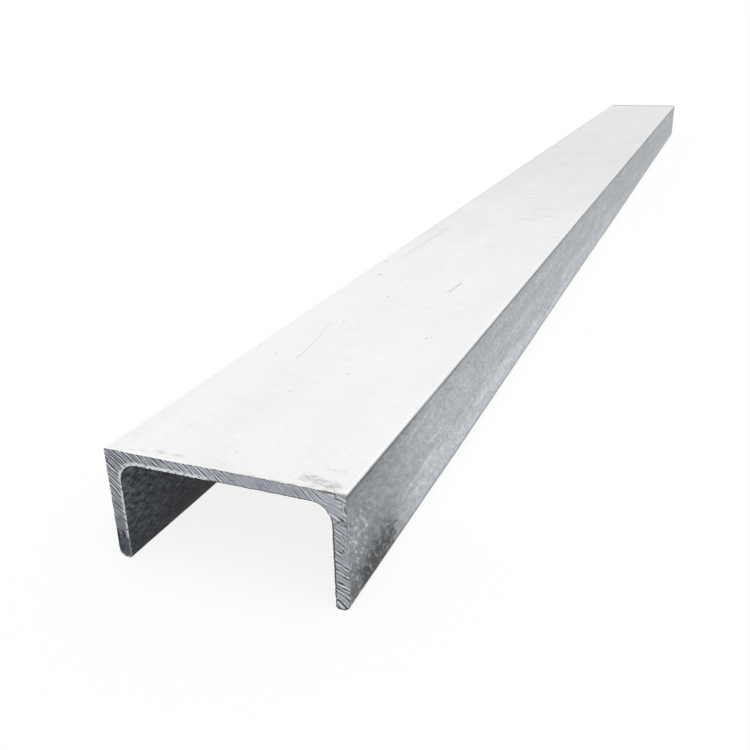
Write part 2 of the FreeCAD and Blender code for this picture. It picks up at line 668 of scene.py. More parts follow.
    def skin_faces(self, numbers: list[np.ndarray], picks: dict[Level, np.ndarray]) -> list[list[int]]:
        """Joins each ring to the next: by quads where they have the same level, else by triangles.

        Between a finer ring and a coarser one, each fine edge makes a triangle with the coarse vertex nearest
        to it, and each coarse edge one with the fine vertex halfway along it.

        Args:
            numbers: the vertex numbers of each ring.
            picks: for each level, the places of its points on the fine outline.

        Returns:
            The faces, turned outwards.
        """
        faces: list[list[int]] = []
        levels = [level for _, level in self.rings()]
        for index in range(len(numbers) - 1):
            here, there = numbers[index], numbers[index + 1]
            if levels[index] == levels[index + 1]:
                quads = np.stack([here, np.roll(here, -1), np.roll(there, -1), there], axis=1)
                faces += quads.tolist()
                continue
            fine_first = levels[index].value < levels[index + 1].value
            fine, coarse = (here, there) if fine_first else (there, here)
            fine_at, coarse_at = (picks[level] for level in Level if level in levels[index : index + 2])
            faces += self._zip(fine, coarse, fine_at, coarse_at, fine_first)
        return faces

    @staticmethod
    def _zip(
        fine: np.ndarray, coarse: np.ndarray, fine_at: np.ndarray, coarse_at: np.ndarray, fine_first: bool
    ) -> list[list[int]]:
        """Fills the band between a finer and a coarser ring with triangles.

        Args:
            fine: the finer ring's vertex numbers.
            coarse: the coarser ring's.
            fine_at: where the finer ring's vertices lie on the fine outline.
            coarse_at: where the coarser ring's do.
            fine_first: whether the finer ring is nearer the front.

        Returns:
            The triangles, turned outwards.
        """
        starts = np.searchsorted(fine_at, coarse_at)
        ends = np.append(starts[1:], len(fine))
        middles = (starts + ends) // 2
        edge = np.arange(len(fine))
        owner = np.searchsorted(starts, edge, side="right") - 1
        apex = (owner + (edge >= middles[owner])) % len(coarse)
        fans = np.stack([fine, np.roll(fine, -1), coarse[apex]], axis=1)
        caps = np.stack([fine[middles % len(fine)], np.roll(coarse, -1), coarse], axis=1)
        triangles = np.concatenate([fans, caps])
        return (triangles if fine_first else triangles[:, ::-1]).tolist()

    def end_face(
        self, ring: np.ndarray, corner: np.ndarray, cut: SawCut, facing: float, first: int
    ) -> EndFace:
        """Fills one end with a grid that shares its rim with the ring.

        A column runs from the outer side to the inner side, and a row follows the wall from toe to toe. An
        inside point is the straight blend of its column's two ends, plus, near a toe, the toe's own curve
        away from that straight line, fading over the first centimetre. Its place along the bar is the cut's
        plane plus the ridge.

        Args:
            ring: the vertices of the end's ring, in outline order.
            corner: the ring's vertex numbers.
            cut: the saw cut.
            facing: -1 at the front, 1 at the back.
            first: the number of the first new vertex.

        Returns:
            The end face.
        """
        columns, rows = sum(part.steps for part in self.section.outer()), self.across_wall
        outer = np.arange(columns + 1)
        right_toe = columns + np.arange(rows + 1)
        inner = (2 * columns + rows - np.arange(columns + 1)) % len(ring)
        left_toe = ((2 * columns + rows + np.arange(rows + 1)) % len(ring))[::-1]
        share = np.arange(rows + 1) / rows
        flat = ring[:, [0, 2]]
        grid = flat[outer][:, None] * (1.0 - share[:, None]) + flat[inner][:, None] * share[:, None]
        fade = 1.0 - smoothstep(np.arange(columns + 1), 0.0, float(self.toe_columns))
        bow_left, bow_right = flat[left_toe] - grid[0], flat[right_toe] - grid[-1]
        grid = grid + fade[:, None, None] * bow_left + fade[::-1, None, None] * bow_right
        inside = grid[1:-1, 1:-1].reshape(-1, 2)
        ridge = cut.ridges(inside[:, 0], inside[:, 1])
        y = facing * (self.length / 2.0 + cut.depth * ridge)
        numbers = np.empty((columns + 1, rows + 1), int)
        numbers[:, 0], numbers[:, -1] = corner[outer], corner[inner]
        numbers[0, :], numbers[-1, :] = corner[left_toe], corner[right_toe]
        numbers[1:-1, 1:-1] = first + np.arange(len(inside)).reshape(columns - 1, rows - 1)
        wall = np.linalg.norm(flat[outer] - flat[inner], axis=1)[1:-1, None]
        column = np.arange(1, columns)
        from_toe = np.minimum(column, columns - column)[:, None] * self.section.toe_column
        return EndFace(
            points=np.stack([inside[:, 0], y, inside[:, 1]], axis=1),
            ridge=ridge,
            from_outer=(share[None, 1:-1] * wall).reshape(-1),
            from_inner=np.minimum((1.0 - share)[None, 1:-1] * wall, from_toe).reshape(-1),
            grid=numbers,
        )

    def build(self, name: str, materials: list[bpy.types.Material]) -> bpy.types.Object:
        """Makes the bar's object.

        Args:
            name: the piece's name.
            materials: the zinc and the sawn steel, in that order.

        Returns:
            The object, with its place in its mesh.
        """
        points, ridges, numbers, picks = self.skin_points()
        faces = self.skin_faces(numbers, picks)
        skin_count, rim = len(faces), np.zeros(len(points))
        all_points, held = [points], {"ridge": [ridges], "from_outer": [rim], "from_inner": [rim]}
        total = len(points)
        for ring, cut, facing in ((numbers[0], self.cuts[0], -1.0), (numbers[-1], self.cuts[1], 1.0)):
            end = self.end_face(points[ring], ring, cut, facing, total)
            grid = end.grid
            quads = np.stack([grid[:-1, :-1], grid[1:, :-1], grid[1:, 1:], grid[:-1, 1:]], axis=-1)
            quads = quads.reshape(-1, 4)
            faces += (quads[:, ::-1] if facing < 0 else quads).tolist()
            all_points.append(end.points)
            for attribute, levels in held.items():
                levels.append(getattr(end, attribute))
            total += len(end.points)
        mesh = bpy.data.meshes.new(name)
        mesh.from_pydata(np.concatenate(all_points), [], faces)
        mesh.validate()
        for attribute, levels in held.items():
            layer = mesh.attributes.new(attribute, "FLOAT", "POINT")
            layer.data.foreach_set("value", np.concatenate(levels).astype(np.float32))
        for material in materials:
            mesh.materials.append(material)
        slots = (np.arange(len(mesh.polygons)) >= skin_count).astype(np.int32)
        mesh.polygons.foreach_set("material_index", slots)
        mesh.polygons.foreach_set("use_smooth", np.ones(len(mesh.polygons), bool))
        mesh.update()
        mesh.set_sharp_from_angle(angle=self.sharp_angle)
        bar = bpy.data.objects.new(name, mesh)
        bpy.context.scene.collection.objects.link(bar)
        return bar


# ---------------------------------------------------------------------------------------------------------
# Finishes


@dataclass(frozen=True)
class Pattern:
    """A fractal noise: its cells per metre along each turned axis, its break-up, its seed and its turn."""

    cells: Triple
    detail: float = 3.0
    roughness: float = 0.5
    seed: float = 0.0
    turn: Triple = (0.0, 0.0, 0.0)

    def at(self, graph: Graph, place: Value) -> Value:
        """Lays the pattern over a surface, about 0.5."""
        return graph.noise(graph.turned(place, self.turn, self.cells), self.detail, self.roughness, self.seed)


@dataclass(frozen=True)
class Mark:
    """A scratch, smear or spot on a flat face: a line between two points, its width and how much it shows."""

    start: Point
    end: Point
    width: float
    shade: float

    def reach(self, first: Value, second: Value) -> Value:
        """Distance from the mark's line, in its widths.

        The foot of the point on the line is the share of the line's length that the point reaches, held
        between 0 and 1, and the distance is from there to the point.

        Args:
            first: the point's first coordinate on the face.
            second: its second.

        Returns:
            The distance.
        """
        (first0, second0), (first1, second1) = self.start, self.end
        run, climb = first1 - first0, second1 - second0
        square = run * run + climb * climb
        share = (first - first0) * (run / square) + (second - second0) * (climb / square)
        share = share.at_least(0.0).at_most(1.0)
        off_first = first - first0 - share * run
        off_second = second - second0 - share * climb
        return (off_first * off_first + off_second * off_second).root() / self.width


@dataclass(frozen=True)
class Mottle:
    """The zinc's uneven tones at the shaded point, each about 0."""

    grain: Value
    clouds: Value
    streaks: Value


@dataclass(frozen=True)
class FlangeSkin:
    """The flanges' outer faces: bluish grey, darker at the front, with a dark stain and pale chips there."""

    section: Section
    length: float
    tone: float = 0.62
    darkest: float = 0.03
    # How far the common mottle and the bands that the rolls left sway the tone.
    grain: float = 1.6
    clouds: float = 0.40
    streaks: float = 0.20
    rolled: float = 0.60
    rolled_bands: Pattern = Pattern((40.0, 4.5, 85.0), 3.0, 0.6, 17.0)
    rolled_start: Span = (0.08, 0.30)
    # A brighter band above the toe, with a ragged top, starting behind the front end: painted light thrown up
    # from the floor.
    lit_band_gain: float = 0.14
    lit_band_top: Span = (20.0 * MM, 30.0 * MM)
    lit_band_start: Span = (60.0 * MM, 110.0 * MM)
    lit_band_fade: Span = (0.4, 1.3)
    lit_band_sway: Span = (0.09, 0.04)
    lit_band_ripples: Pattern = Pattern((60.0, 40.0, 420.0), 3.0, 0.6, 5.0, (math.radians(-4.0), 0.0, 0.0))
    # The front end is darker, most of all above the right toe, and the bar is a little darker far back.
    front_loss: float = 0.23
    front_reach: Span = (0.02, 0.15)
    low_loss: float = 0.24
    low_top: Span = (10.0 * MM, 48.0 * MM)
    low_reach: Span = (0.035, 0.075)
    far_loss: float = 0.20
    far_reach: Span = (0.12, 1.60)
    # Thin pale wisps nearly along the bar.
    wisp_gain: float = 0.12
    wisp_part: Span = (0.54, 0.66)
    wisp_start: Span = (0.04, 0.12)
    wisps: Pattern = Pattern((60.0, 24.0, 300.0), 2.0, 0.5, 6.0, (math.radians(-4.0), 0.0, 0.0))
    # A dark stain above the right toe, with an edge made ragged by blotches.
    stain: Mark = Mark((-0.974, 0.007), (-0.944, 0.011), 13.0 * MM, 0.72)
    stain_edge: Span = (0.45, 1.35)
    stain_ragged: float = 3.6
    blotches: Pattern = Pattern((150.0, 240.0, 80.0), 4.0, 0.75, 11.0, (math.radians(-57.0), 0.0, 0.0))
    blotch_sway: float = 1.3
    blotch_reach: Span = (0.04, 0.10)
    # Pale chips next to the sawn edge and, fainter, in the stain.
    chips: Pattern = Pattern((300.0, 430.0, 170.0), 3.0, 0.70, 5.0, (math.radians(-48.0), 0.0, 0.0))
    chip_gain: float = 0.40
    chip_reach: Span = (0.012, 0.050)
    chip_top: Span = (48.0 * MM, 60.0 * MM)
    chip_part: Span = (0.50, 0.63)
    stained_chip_gain: float = 0.26
    stained_chip_part: Span = (0.54, 0.62)
    stained_chip_loss: float = 0.6
    # Dark lines just below the heel and, as painted contact shade, along the toe's edge: the losses, and the
    # distances from that edge.
    heel_loss: float = 0.42
    heel_line: Span = (4.6 * MM, 2.4 * MM)
    strip_loss: float = 0.07
    heel_strip: Span = (11.0 * MM, 7.0 * MM)
    toe_shade_loss: float = 0.52
    toe_shade_line: Span = (4.0 * MM, 6.6 * MM)

    def level(self, graph: Graph, place: Value, mottle: Mottle) -> Value:
        """Tone of the face.

        Args:
            graph: the material's graph.
            place: the shaded point.
            mottle: the zinc's mottle.

        Returns:
            The tone.
        """
        x, y, z = graph.parts(place)
        from_front = y + self.length / 2.0
        right = x.rise(0.0, 1.0 * MM)
        by_cloud, by_ripple = self.lit_band_sway
        ragged = z + by_cloud * mottle.clouds + by_ripple * (self.lit_band_ripples.at(graph, place) - 0.5)
        # Painted light from the floor on the flange's lower part, with a ragged top.
        band = ragged.fall(*self.lit_band_top) * from_front.rise(*self.lit_band_start)
        band = band * from_front.rise(*self.lit_band_fade, 1.0, 0.5)
        low = z.fall(*self.low_top) * from_front.fall(*self.low_reach)
        blotch = self.blotches.at(graph, place) - 0.5
        stain = (self.stain.reach(y, z) + self.stain_ragged * blotch).fall(*self.stain_edge) * right
        chips = self.chips.at(graph, place)
        flecks = chips.rise(*self.chip_part) * from_front.fall(*self.chip_reach) * z.fall(*self.chip_top)
        heel_line, heel_strip = (
            z.rise(self.section.height - low_edge, self.section.height - high_edge)
            for low_edge, high_edge in (self.heel_line, self.heel_strip)
        )
        wisps = self.wisps.at(graph, place).rise(*self.wisp_part) * from_front.rise(*self.wisp_start)
        rolled = (self.rolled_bands.at(graph, place) - 0.5) * from_front.rise(*self.rolled_start)

        tone = self.tone + self.lit_band_gain * band - self.front_loss * from_front.fall(*self.front_reach)
        tone = tone - self.low_loss * low * right + self.wisp_gain * wisps
        mottled = 1.0 + self.grain * mottle.grain + self.clouds * mottle.clouds
        mottled = mottled + self.streaks * mottle.streaks + self.rolled * rolled
        tone = tone * (1.0 - self.far_loss * from_front.rise(*self.far_reach)) * mottled
        tone = tone * (1.0 + self.blotch_sway * blotch * from_front.fall(*self.blotch_reach))
        tone = tone * (1.0 - self.stain.shade * stain * (1.0 - 3.0 * mottle.grain))
        tone = tone + self.stained_chip_gain * chips.rise(*self.stained_chip_part) * stain
        # A dark line under the heel, and painted contact shade along the toe's edge.
        lines = 1.0 - self.strip_loss * heel_strip - self.heel_loss * heel_line
        tone = tone * (lines - self.toe_shade_loss * z.fall(*self.toe_shade_line))
        pale = self.chip_gain * flecks * (1.0 - self.stained_chip_loss * stain)
        return (tone + pale).at_least(self.darkest)


@dataclass(frozen=True)
class WebSkin:
    """The web's outer face: nearly white as painted light from above, with specks, scratches, smears and a
    little brown grime.
    """

    section: Section
    length: float
    # Painted light: the tone stands far above the flanges' so that the web's back shows nearly white, as lit
    # from above.
    tone: float = 0.87
    grain: float = 0.16
    clouds: float = 0.09
    streaks: float = 0.03
    scratches: tuple[Mark, ...] = (
        Mark((-0.0346, -0.8415), (-0.0380, -0.8010), 0.50 * MM, 0.24),
        Mark((-0.0380, -0.8010), (-0.0445, -0.7600), 0.70 * MM, 0.08),
        Mark((0.0149, -0.6590), (0.0195, -0.6575), 1.30 * MM, 0.20),
        Mark((0.0195, -0.6575), (0.0217, -0.6290), 1.20 * MM, 0.27),
    )
    spots: tuple[Mark, ...] = (
        Mark((-0.0700, -0.5820), (-0.0690, -0.5780), 1.6 * MM, 0.20),
        Mark((-0.0590, -0.6270), (-0.0580, -0.6220), 1.6 * MM, 0.26),
        Mark((-0.0260, -0.6870), (-0.0256, -0.6840), 1.2 * MM, 0.20),
        Mark((-0.0352, -0.7600), (-0.0350, -0.7570), 1.1 * MM, 0.16),
        Mark((0.0118, -0.8562), (0.0124, -0.8546), 0.9 * MM, 0.30),
        Mark((0.0386, -0.7740), (0.0390, -0.7720), 1.1 * MM, 0.22),
    )
    mark_edge: Span = (0.4, 1.0)
    # Small specks: one to a cell, in about a tenth of the cells.
    speck_cells: Triple = (95.0, 60.0, 0.0)
    speck_size: Span = (0.035, 0.085)
    speck_lot: Span = (0.89, 0.91)
    speck_loss: float = 0.36
    # Smears, broken up by smudges, and the brown grime over two of them and along the front rim.
    long_smear: Mark = Mark((-0.060, -0.560), (-0.056, -0.430), 4.0 * MM, 0.12)
    corner_smear: Mark = Mark((0.048, -0.990), (0.067, -0.995), 6.0 * MM, 0.34)
    small_smears: tuple[Mark, ...] = (
        Mark((-0.060, -0.9955), (-0.050, -0.9950), 1.8 * MM, 0.16),
        Mark((-0.045, -0.9925), (-0.028, -0.9935), 2.8 * MM, 0.24),
        Mark((0.0555, -0.9784), (0.0648, -0.9785), 2.0 * MM, 0.26),
    )
    smudges: Pattern = Pattern((170.0, 330.0, 0.0), 5.0, 0.72, 9.0, (0.0, 0.0, math.radians(8.0)))
    grime_patches: Pattern = Pattern((210.0, 420.0, 0.0), 5.0, 0.72, 2.0, (0.0, 0.0, math.radians(8.0)))
    grime_on_corner: float = 0.65
    grime_on_smear: float = 0.12
    grime_on_rim: float = 0.60
    grimy_rim: Span = (0.3 * MM, 2.2 * MM)
    # Faint wisps across the web, more of them past its middle.
    wisps: Pattern = Pattern((14.0, 95.0, 0.0), 4.0, 0.65, 15.0, (0.0, 0.0, math.radians(14.0)))
    wisp_loss: float = 0.12
    wisp_reach: Span = (0.20, 0.80)
    # The face is darker towards the back; its heels carry a painted highlight, and a strip behind the left
    # half of the front rim is a burr brightened by a painted highlight.
    far_loss: float = 0.145
    far_reach: Span = (0.10, 1.20)
    heel_highlight_gain: float = 0.03
    heel_highlight_width: Span = (2.6 * MM, 1.2 * MM)
    rim_highlight_gain: float = 0.06
    rim_highlight_width: Span = (1.0 * MM, 2.6 * MM)
    # The left edge and the far rim have a thin grey outline, stronger towards the back.
    outline_loss: float = 0.36
    outline_width: Span = (1.0 * MM, 3.0 * MM)
    outline_reach: Span = (0.2, 1.4)
    far_rim: Span = (30.0 * MM, 15.0 * MM)

    def level(self, graph: Graph, place: Value, mottle: Mottle) -> Value:
        """Tone of the face.

        Args:
            graph: the material's graph.
            place: the shaded point.
            mottle: the zinc's mottle.

        Returns:
            The tone.
        """
        x, y, _ = graph.parts(place)
        from_front, half = y + self.length / 2.0, self.section.half
        loss = self._specks(graph, place)
        for mark in (*self.scratches, *self.spots):
            loss = loss + mark.shade * mark.reach(x, y).fall(*self.mark_edge)
        patchy = self.smudges.at(graph, place).rise(0.41, 0.58)
        for mark in (self.long_smear, self.corner_smear, *self.small_smears):
            loss = loss + mark.shade * (mark.reach(x, y).fall(0.0, 1.0) * patchy)
        wisps = self.wisps.at(graph, place).rise(0.52, 0.74) * from_front.rise(*self.wisp_reach, 0.30, 1.0)
        # Darker towards the back.
        back_darkening = from_front.rise(*self.far_reach, 0.0, self.far_loss)
        # Painted highlights along both heels and on the burr behind the front rim's left half.
        edge = abs(x).rise(*(half - width for width in self.heel_highlight_width))
        sawn = from_front.fall(*self.rim_highlight_width) * x.fall(-30.0 * MM, 0.0)
        outline = x.fall(*(width - half for width in self.outline_width))
        outline = outline * from_front.rise(*self.outline_reach)
        rim = from_front.rise(*(self.length - width for width in self.far_rim))
        outline = outline.at_least(rim * 0.7)
        tone = self.tone + self.grain * mottle.grain + self.clouds * mottle.clouds
        tone = tone + self.streaks * mottle.streaks - loss - back_darkening
        tone = tone - self.outline_loss * outline - self.wisp_loss * wisps
        return tone + self.heel_highlight_gain * edge + self.rim_highlight_gain * sawn

    def _specks(self, graph: Graph, place: Value) -> Value:
        """How much the small specks darken the face.

        Args:
            graph: the material's graph.
            place: the shaded point.

        Returns:
            The loss of tone.
        """
        cells = graph.turned(place, (0.0, 0.0, 0.0), self.speck_cells)
        sockets = {"Vector": cells, "Scale": 1.0}
        voronoi = graph.node("ShaderNodeTexVoronoi", {"voronoi_dimensions": "2D"}, sockets)
        distance = Value(graph, voronoi.outputs["Distance"])
        lot, _, size = graph.parts(Value(graph, voronoi.outputs["Color"]))
        return distance.fall(*self.speck_size) * lot.rise(*self.speck_lot) * size * self.speck_loss

    def grime(self, graph: Graph, place: Value) -> Value:
        """How much brown grime lies by the front right corner, along a smear and along the front rim.

        Args:
            graph: the material's graph.
            place: the shaded point.

        Returns:
            The share of grime, 0 to 1.
        """
        x, y, _ = graph.parts(place)
        patchy = self.grime_patches.at(graph, place)
        corner = self.corner_smear.reach(x, y).fall(0.0, 1.5) * patchy.rise(0.50, 0.64)
        smear = self.long_smear.reach(x, y).fall(0.0, 1.2) * patchy.rise(0.40, 0.70)
        from_front = y + self.length / 2.0
        rim = from_front.fall(*self.grimy_rim) * x.rise(-10.0 * MM, 20.0 * MM) * patchy.rise(0.46, 0.60)
        return corner * self.grime_on_corner + smear * self.grime_on_smear + rim * self.grime_on_rim


@dataclass(frozen=True)
class ZincFinish:
    """Dull hot-dip zinc: bluish grey flanges, the web's back painted nearly white as light from above, the
    inside painted dark as shade.
    """

    section: Section
    length: float
    web_colour: Colour = (0.995, 0.996, 1.0)
    flange_colour: Colour = (0.932, 0.985, 1.05)
    inside_colour: Colour = (0.885, 0.985, 1.12)
    grime_colour: Colour = (0.36, 0.29, 0.22)
    # Grains of a few millimetres, clouds of a few centimetres, streaks along the bar, and scuffs that climb
    # at fourteen degrees on the inside.
    grain: Pattern = Pattern((300.0, 460.0, 140.0), 3.0, 0.75, 0.0, (math.radians(-60.0), 0.0, 0.0))
    clouds: Pattern = Pattern((26.0, 9.0, 26.0), 3.0, 0.5, 3.0)
    streaks: Pattern = Pattern((150.0, 7.0, 150.0), 2.0, 0.5, 7.0)
    scuffs: Pattern = Pattern((60.0, 120.0, 420.0), 4.0, 0.7, 5.0, (math.radians(-14.0), 0.0, 0.0))
    # Where the web's face begins, below its top, and the flanges' outer faces, in from their outside.
    web_edge: Span = (1.8 * MM, 0.3 * MM)
    flange_edge: Span = (4.0 * MM, 2.0 * MM)
    # Painted shade: the inside is painted dark, and darker still towards the toes.
    inside_shade_tone: float = 0.132
    inside_darkest: float = 0.025
    inside_toe_shade: float = 0.38
    inside_lit: float = 50.0 * MM
    metallic: float = 0.25
    specular: float = 0.25
    roughness: float = 0.50
    bump_height: float = 0.35 * MM
    bump_strength: float = 0.6

    def material(self) -> bpy.types.Material:
        """Builds the material.

        Returns:
            The material.
        """
        material, graph = new_material("galvanised_zinc")
        place = graph.place()
        x, _, z = graph.parts(place)
        on_web = z.rise(*(self.section.height - width for width in self.web_edge))
        outside = abs(x).rise(*(self.section.half - width for width in self.flange_edge)).at_least(on_web)
        grain, clouds, streaks, scuffs = (
            pattern.at(graph, place) - 0.5 for pattern in (self.grain, self.clouds, self.streaks, self.scuffs)
        )
        mottle = Mottle(grain, clouds, streaks)
        web_skin = WebSkin(self.section, self.length)
        flange = FlangeSkin(self.section, self.length).level(graph, place, mottle)
        web = web_skin.level(graph, place, mottle)
        # Painted shade inside the channel, deeper towards the toes.
        depth = z.rise(0.0, self.inside_lit, self.inside_toe_shade, 1.0)
        inside = self.inside_shade_tone * depth * (1.0 + 8.0 * grain + 2.5 * clouds + 9.0 * scuffs)

        black = (0.0, 0.0, 0.0)
        inner = graph.mix(inside.at_least(self.inside_darkest), black, self.inside_colour)
        outer = graph.mix(flange, black, self.flange_colour)
        top = graph.mix(web, black, self.web_colour)
        top = graph.mix(web_skin.grime(graph, place), top, self.grime_colour)
        height = 0.6 * grain + 0.5 * clouds + 0.25 * streaks + 0.4 * scuffs * (1.0 - outside)
        graph.surface({
            "Base Color": graph.mix(outside, inner, graph.mix(on_web, outer, top)),
            "Metallic": self.metallic,
            "Specular IOR Level": self.specular,
            "Roughness": self.roughness + 0.25 * grain + 0.10 * clouds,
            "Normal": graph.bump(height, self.bump_height, self.bump_strength),
        })
        return material


@dataclass(frozen=True)
class CutSpot:
    """The shaded point of a sawn end: place, side, ridge, distances from the rims, and the patterns there."""

    x: Value
    z: Value
    left: Value
    front: Value
    ridge: Value
    from_outer: Value
    from_inner: Value
    grain: Value
    clouds: Value
    chips: Value
    glints: Value


@dataclass(frozen=True)
class SawnFinish:
    """The sawn end: bare steel with painted highlight on its crests and painted shade in its furrows, a
    rubbed burr, a dark line along the inner rim and a stained toe.
    """

    section: Section
    # Painted shade for the furrows and painted highlight for the crests, the two ends of the cut's tone.
    furrow_shade: Colour = (0.050, 0.056, 0.070)
    crest_highlight: Colour = (0.83, 0.87, 0.94)
    burr_colour: Colour = (1.0, 1.0, 1.0)
    stain_colour: Colour = (0.035, 0.050, 0.085)
    # Painted shade of small notches by the left toe, nearly black.
    notch_shade_colour: Colour = (0.004, 0.005, 0.008)
    # A dark line along the inner rim past the middle.
    inner_line_colour: Colour = (0.045, 0.050, 0.050)
    rust: Colour = (0.12, 0.085, 0.065)
    nick: Mark = Mark((0.0672, 0.0525), (0.0728, 0.0570), 0.9 * MM, 0.26)
    notches: tuple[Mark, ...] = (
        Mark((-0.0750, 0.0180), (-0.0742, 0.0120), 1.5 * MM, 0.90),
        Mark((-0.0706, 0.0178), (-0.0700, 0.0142), 0.9 * MM, 0.85),
        Mark((-0.0728, 0.0075), (-0.0722, 0.0050), 1.3 * MM, 0.75),
    )
    rust_spots: tuple[Mark, ...] = (
        Mark((-0.0748, 0.0655), (-0.0735, 0.0650), 0.9 * MM, 0.60),
        Mark((0.0600, 0.0716), (0.0690, 0.0712), 0.7 * MM, 0.75),
        Mark((0.0690, 0.0700), (0.0712, 0.0685), 0.7 * MM, 0.70),
        Mark((0.0740, 0.0640), (0.0746, 0.0610), 0.7 * MM, 0.80),
        Mark((0.0715, 0.0570), (0.0742, 0.0535), 0.9 * MM, 0.80),
    )
    grain: Pattern = Pattern((190.0, 300.0, 640.0), 3.0, 0.6, 0.0, (0.0, math.radians(-40.0), 0.0))
    clouds: Pattern = Pattern((90.0, 90.0, 90.0), 3.0, 0.5, 4.0)
    chips: Pattern = Pattern((420.0, 420.0, 420.0), 3.0, 0.6, 6.0)
    glints: Pattern = Pattern((330.0, 330.0, 330.0), 2.0, 0.5, 8.0)
    # The parts of the face: the left flange, the web's left half, the right corner, the corner's outer edge.
    left_side: Span = (-50.0 * MM, -40.0 * MM)
    web_left: Span = (-60.0 * MM, -15.0 * MM)
    web_middle: Span = (-2.0 * MM, 12.0 * MM)
    corner_across: Span = (48.0 * MM, 60.0 * MM)
    corner_up: Span = (50.0 * MM, 60.0 * MM)
    corner_rim: Span = (69.0 * MM, 72.5 * MM)
    # Tone of the cut, and how much the web's left half and the right corner differ from it.
    tone: float = 0.50
    web_change: Span = (-0.17, 0.03)
    corner_gain: float = 0.12
    # How strongly the strokes show, falling along the web, and by how much they show more by the left heel
    # and toe and less on the left flange's smooth middle.
    stroke_change: Span = (-10.0 * MM, 25.0 * MM)
    stroke_levels: Span = (0.60, 0.30)
    toe_strokes: float = 0.22
    toe_reach: Span = (12.0 * MM, 24.0 * MM)
    left_strokes: float = 0.16
    smooth_strokes: float = 0.36
    smooth_reach: Span = (38.0 * MM, 52.0 * MM)
    grain_share: float = 0.70
    cloud_share: float = 0.40
    # Painted glints on the crests and painted shade in pits in the furrows: their strength, their part of the
    # pattern, their ridges.
    glint_gain: float = 0.32
    glint_part: Span = (0.52, 0.66)
    glint_ridge: Span = (0.1, 0.9)
    pit_shade_loss: float = 0.25
    pit_shade_part: Span = (0.34, 0.46)
    pit_shade_ridge: Span = (-0.9, -0.1)
    # Black specks in the stain and along the corner's rim.
    speck_loss: float = 0.85
    stain_specks: Span = (0.40, 0.46)
    rim_specks: Span = (0.36, 0.43)
    # The left toe: smooth and bluish above, dark and stained below, with a ragged top and a darker rim.
    smooth_top: Span = (22.0 * MM, 32.0 * MM)
    smooth_loss: float = 0.30
    stained_top: Span = (14.0 * MM, 19.0 * MM)
    stained_ragged: float = 30.0 * MM
    stained_loss: float = 0.70
    stained_rim: Span = (0.6 * MM, 2.4 * MM)
    stained_rim_loss: float = 0.40
    stain_cover: float = 0.55
    # The inner rim: a bright rubbed burr up to the middle, wider near the web, and a dark line past the
    # middle, wider down the flange.
    burr_end: Span = (-12.0 * MM, -2.0 * MM)
    burr_width: Span = (0.8 * MM, 1.9 * MM)
    burr_widening: Span = (50.0 * MM, 62.0 * MM)
    burr_widths: Span = (1.0, 1.35)
    burr_part: Span = (0.40, 0.48)
    burr_gain: float = 0.40
    burr_cover: Span = (0.45, 0.85)
    burr_covering: Span = (46.0 * MM, 60.0 * MM)
    stained_burr_loss: float = 0.20
    inner_line_width: float = 0.55 * MM
    inner_line_widening: Span = (44.0 * MM, 62.0 * MM)
    inner_line_edge: Span = (0.6, 1.2)
    inner_line_cover: float = 0.9
    # The outer rim is broken and dull on the web.
    broken_loss: float = 0.28
    broken_width: Span = (0.2 * MM, 0.9 * MM)
    broken_part: Span = (0.40, 0.55)
    broken_up: Span = (44.0 * MM, 52.0 * MM)
    nick_edge: Span = (0.5, 1.0)
    notch_edge: Span = (0.4, 1.2)
    # Rust: a little all along the outer rim, and spots.
    rim_rust: float = 0.5
    rust_part: Span = (0.60, 0.68)
    rust_width: Span = (0.4 * MM, 1.6 * MM)
    spot_part: Span = (0.40, 0.50)
    spot_edge: Span = (0.4, 1.3)
    # Places along the bar: the front end is before the first, the back end past the second.
    front_side: Span = (-0.5, 0.5)
    metallic: float = 0.35
    roughness: float = 0.42
    bump_height: float = 0.2 * MM
    bump_strength: float = 0.5

    def material(self) -> bpy.types.Material:
        """Builds the material.

        Returns:
            The material.
        """
        material, graph = new_material("sawn_steel")
        spot = self._spot(graph)
        stained = (spot.z + self.stained_ragged * (spot.chips - 0.5)).fall(*self.stained_top) * spot.left
        near_web = spot.z.rise(*self.burr_widening, *self.burr_widths)
        burr = (spot.from_inner / near_web).fall(*self.burr_width)
        burr = burr * spot.x.fall(*self.burr_end) * spot.chips.rise(*self.burr_part)
        tone = self._tone(spot, stained, burr)
        colour = self._colour(graph, spot, tone, stained, burr)
        rusty = self._rust(spot)
        height = 0.6 * spot.grain + 0.3 * spot.ridge
        graph.surface({
            "Base Color": graph.mix(rusty, colour, self.rust),
            "Metallic": self.metallic,
            "Roughness": self.roughness + 0.3 * spot.grain + 0.15 * rusty,
            "Normal": graph.bump(height, self.bump_height, self.bump_strength),
        })
        return material

    def _spot(self, graph: Graph) -> CutSpot:
        """Reads the shaded point.

        Args:
            graph: the material's graph.

        Returns:
            What the finish knows of it.
        """
        place = graph.place()
        x, y, z = graph.parts(place)
        ridge, from_outer, from_inner = map(graph.attribute, ("ridge", "from_outer", "from_inner"))
        grain, clouds = (pattern.at(graph, place) - 0.5 for pattern in (self.grain, self.clouds))
        chips, glints = (pattern.at(graph, place) for pattern in (self.chips, self.glints))
        left, front = x.fall(*self.left_side), y.fall(*self.front_side)
        return CutSpot(x, z, left, front, ridge, from_outer, from_inner, grain, clouds, chips, glints)

